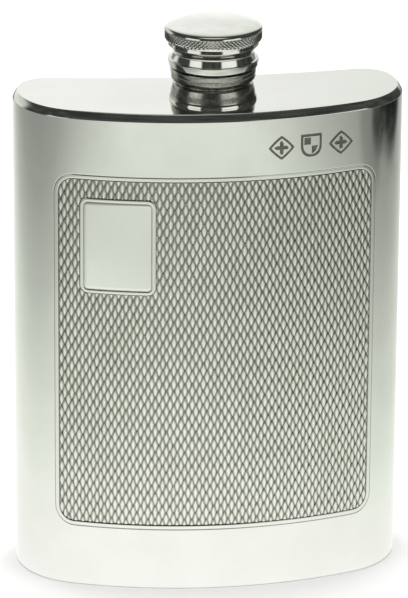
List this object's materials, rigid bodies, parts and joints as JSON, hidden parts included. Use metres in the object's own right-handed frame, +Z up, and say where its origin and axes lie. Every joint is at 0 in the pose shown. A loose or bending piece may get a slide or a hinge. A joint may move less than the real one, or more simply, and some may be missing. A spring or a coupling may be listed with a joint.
{
  "type": "hip flask",
  "caption": "Kidney-shaped pewter hip flask with an engine-turned front panel, a plain window, a turned neck and a knurled screw cap.",
  "frame": {"origin": "middle of the bounding box, on the surface that the flask stands on", "axes": "+Z up through the neck, -Y out of the engine-turned front, X along the width"},
  "size_m": [0.082, 0.0314, 0.1214],
  "materials": {
    "pewter": "polished pewter",
    "nickel": "machined",
    "seal": "matte"
  },
  "bodies": {
    "flask": {"front_shell": "pewter", "rear_shell": "pewter", "top_plate": "pewter", "base_plate": "pewter", "neck_ferrule": "pewter", "threaded_neck": "nickel"},
    "seal": {"cap_seal": "seal"},
    "cap": {"cap_body": "pewter", "cap_insert": "nickel"}
  },
  "joints": [
    {"name": "cap_rise", "type": "slide", "parent": "flask", "child": "seal", "axis": [0, 0, 1], "range_m": [0, 0.006]},
    {"name": "cap_turn", "type": "hinge", "parent": "seal", "child": "cap", "pos_m": [0, -0.0032, 0.1053], "axis": [0, 0, 1], "range_deg": [0, 1080]}
  ],
  "couplings": [
    {"joint": "cap_rise", "follows": "cap_turn", "m_per_rad": 0.0003183}
  ]
}
